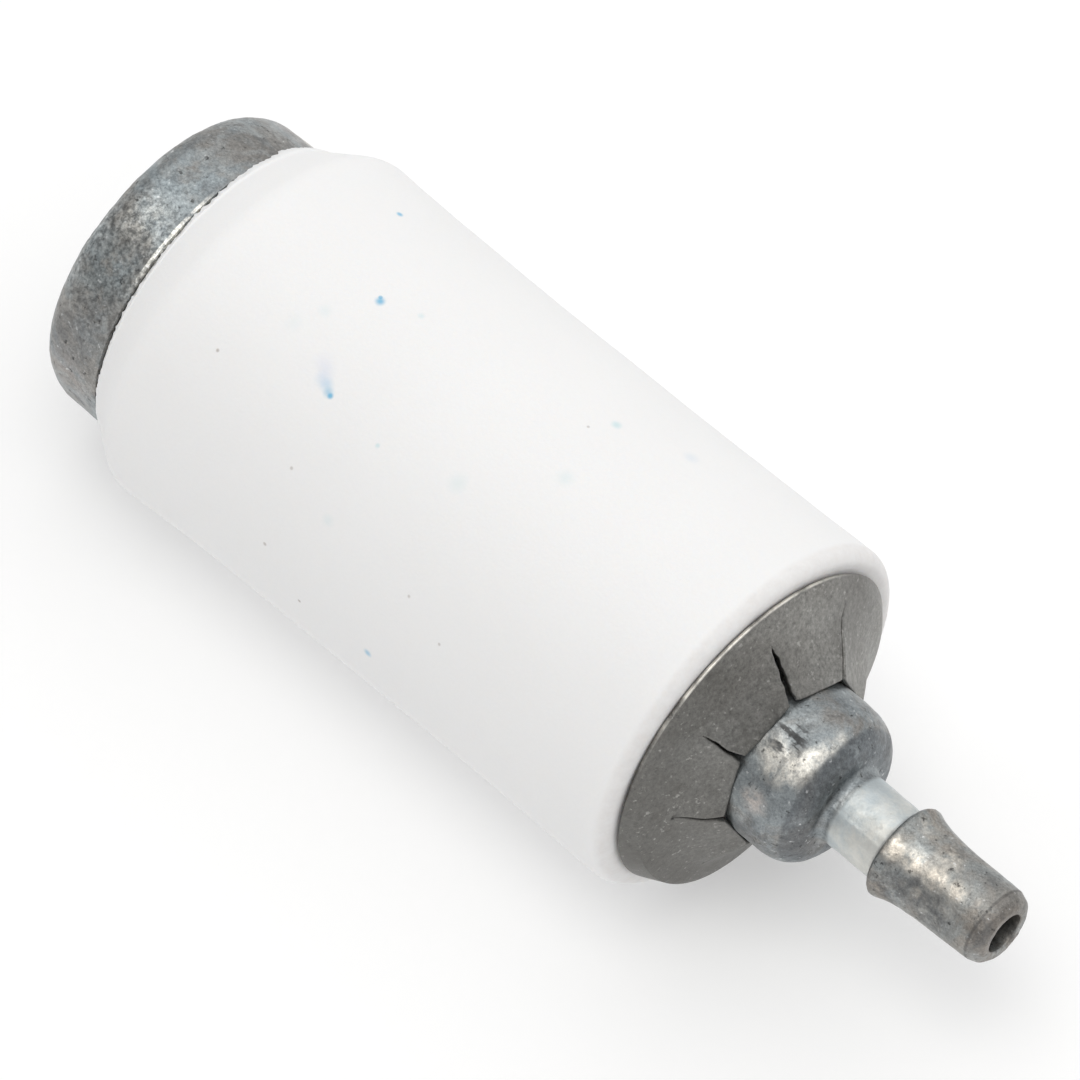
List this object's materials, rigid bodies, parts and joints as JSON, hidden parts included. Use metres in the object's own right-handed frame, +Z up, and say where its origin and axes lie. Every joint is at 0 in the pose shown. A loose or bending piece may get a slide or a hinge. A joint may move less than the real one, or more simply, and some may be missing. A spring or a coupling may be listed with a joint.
{
  "type": "fuel filter",
  "caption": "Small in-tank fuel filter: die-cast body with a round end weight and a barbed hose nipple, a white porous sleeve and a push-on star washer.",
  "frame": {"origin": "on the surface that the filter lies on, under the middle of its length", "axes": "+X along the filter's axis towards the hose nipple, +Z up out of the surface, +Y to the left when looking along +X"},
  "size_m": [0.0382, 0.0138, 0.0138],
  "materials": {
    "zinc_casting": "bare die-cast zinc, dull with pale and dark patches",
    "porous_polyethylene": "moulded porous polyethylene, matt with a fine grain",
    "spring_steel": "thin spring steel sheet, dull grey"
  },
  "bodies": {
    "root": {"cast_body": "zinc_casting", "filter_sleeve": "porous_polyethylene", "star_washer": "spring_steel"}
  },
  "joints": []
}
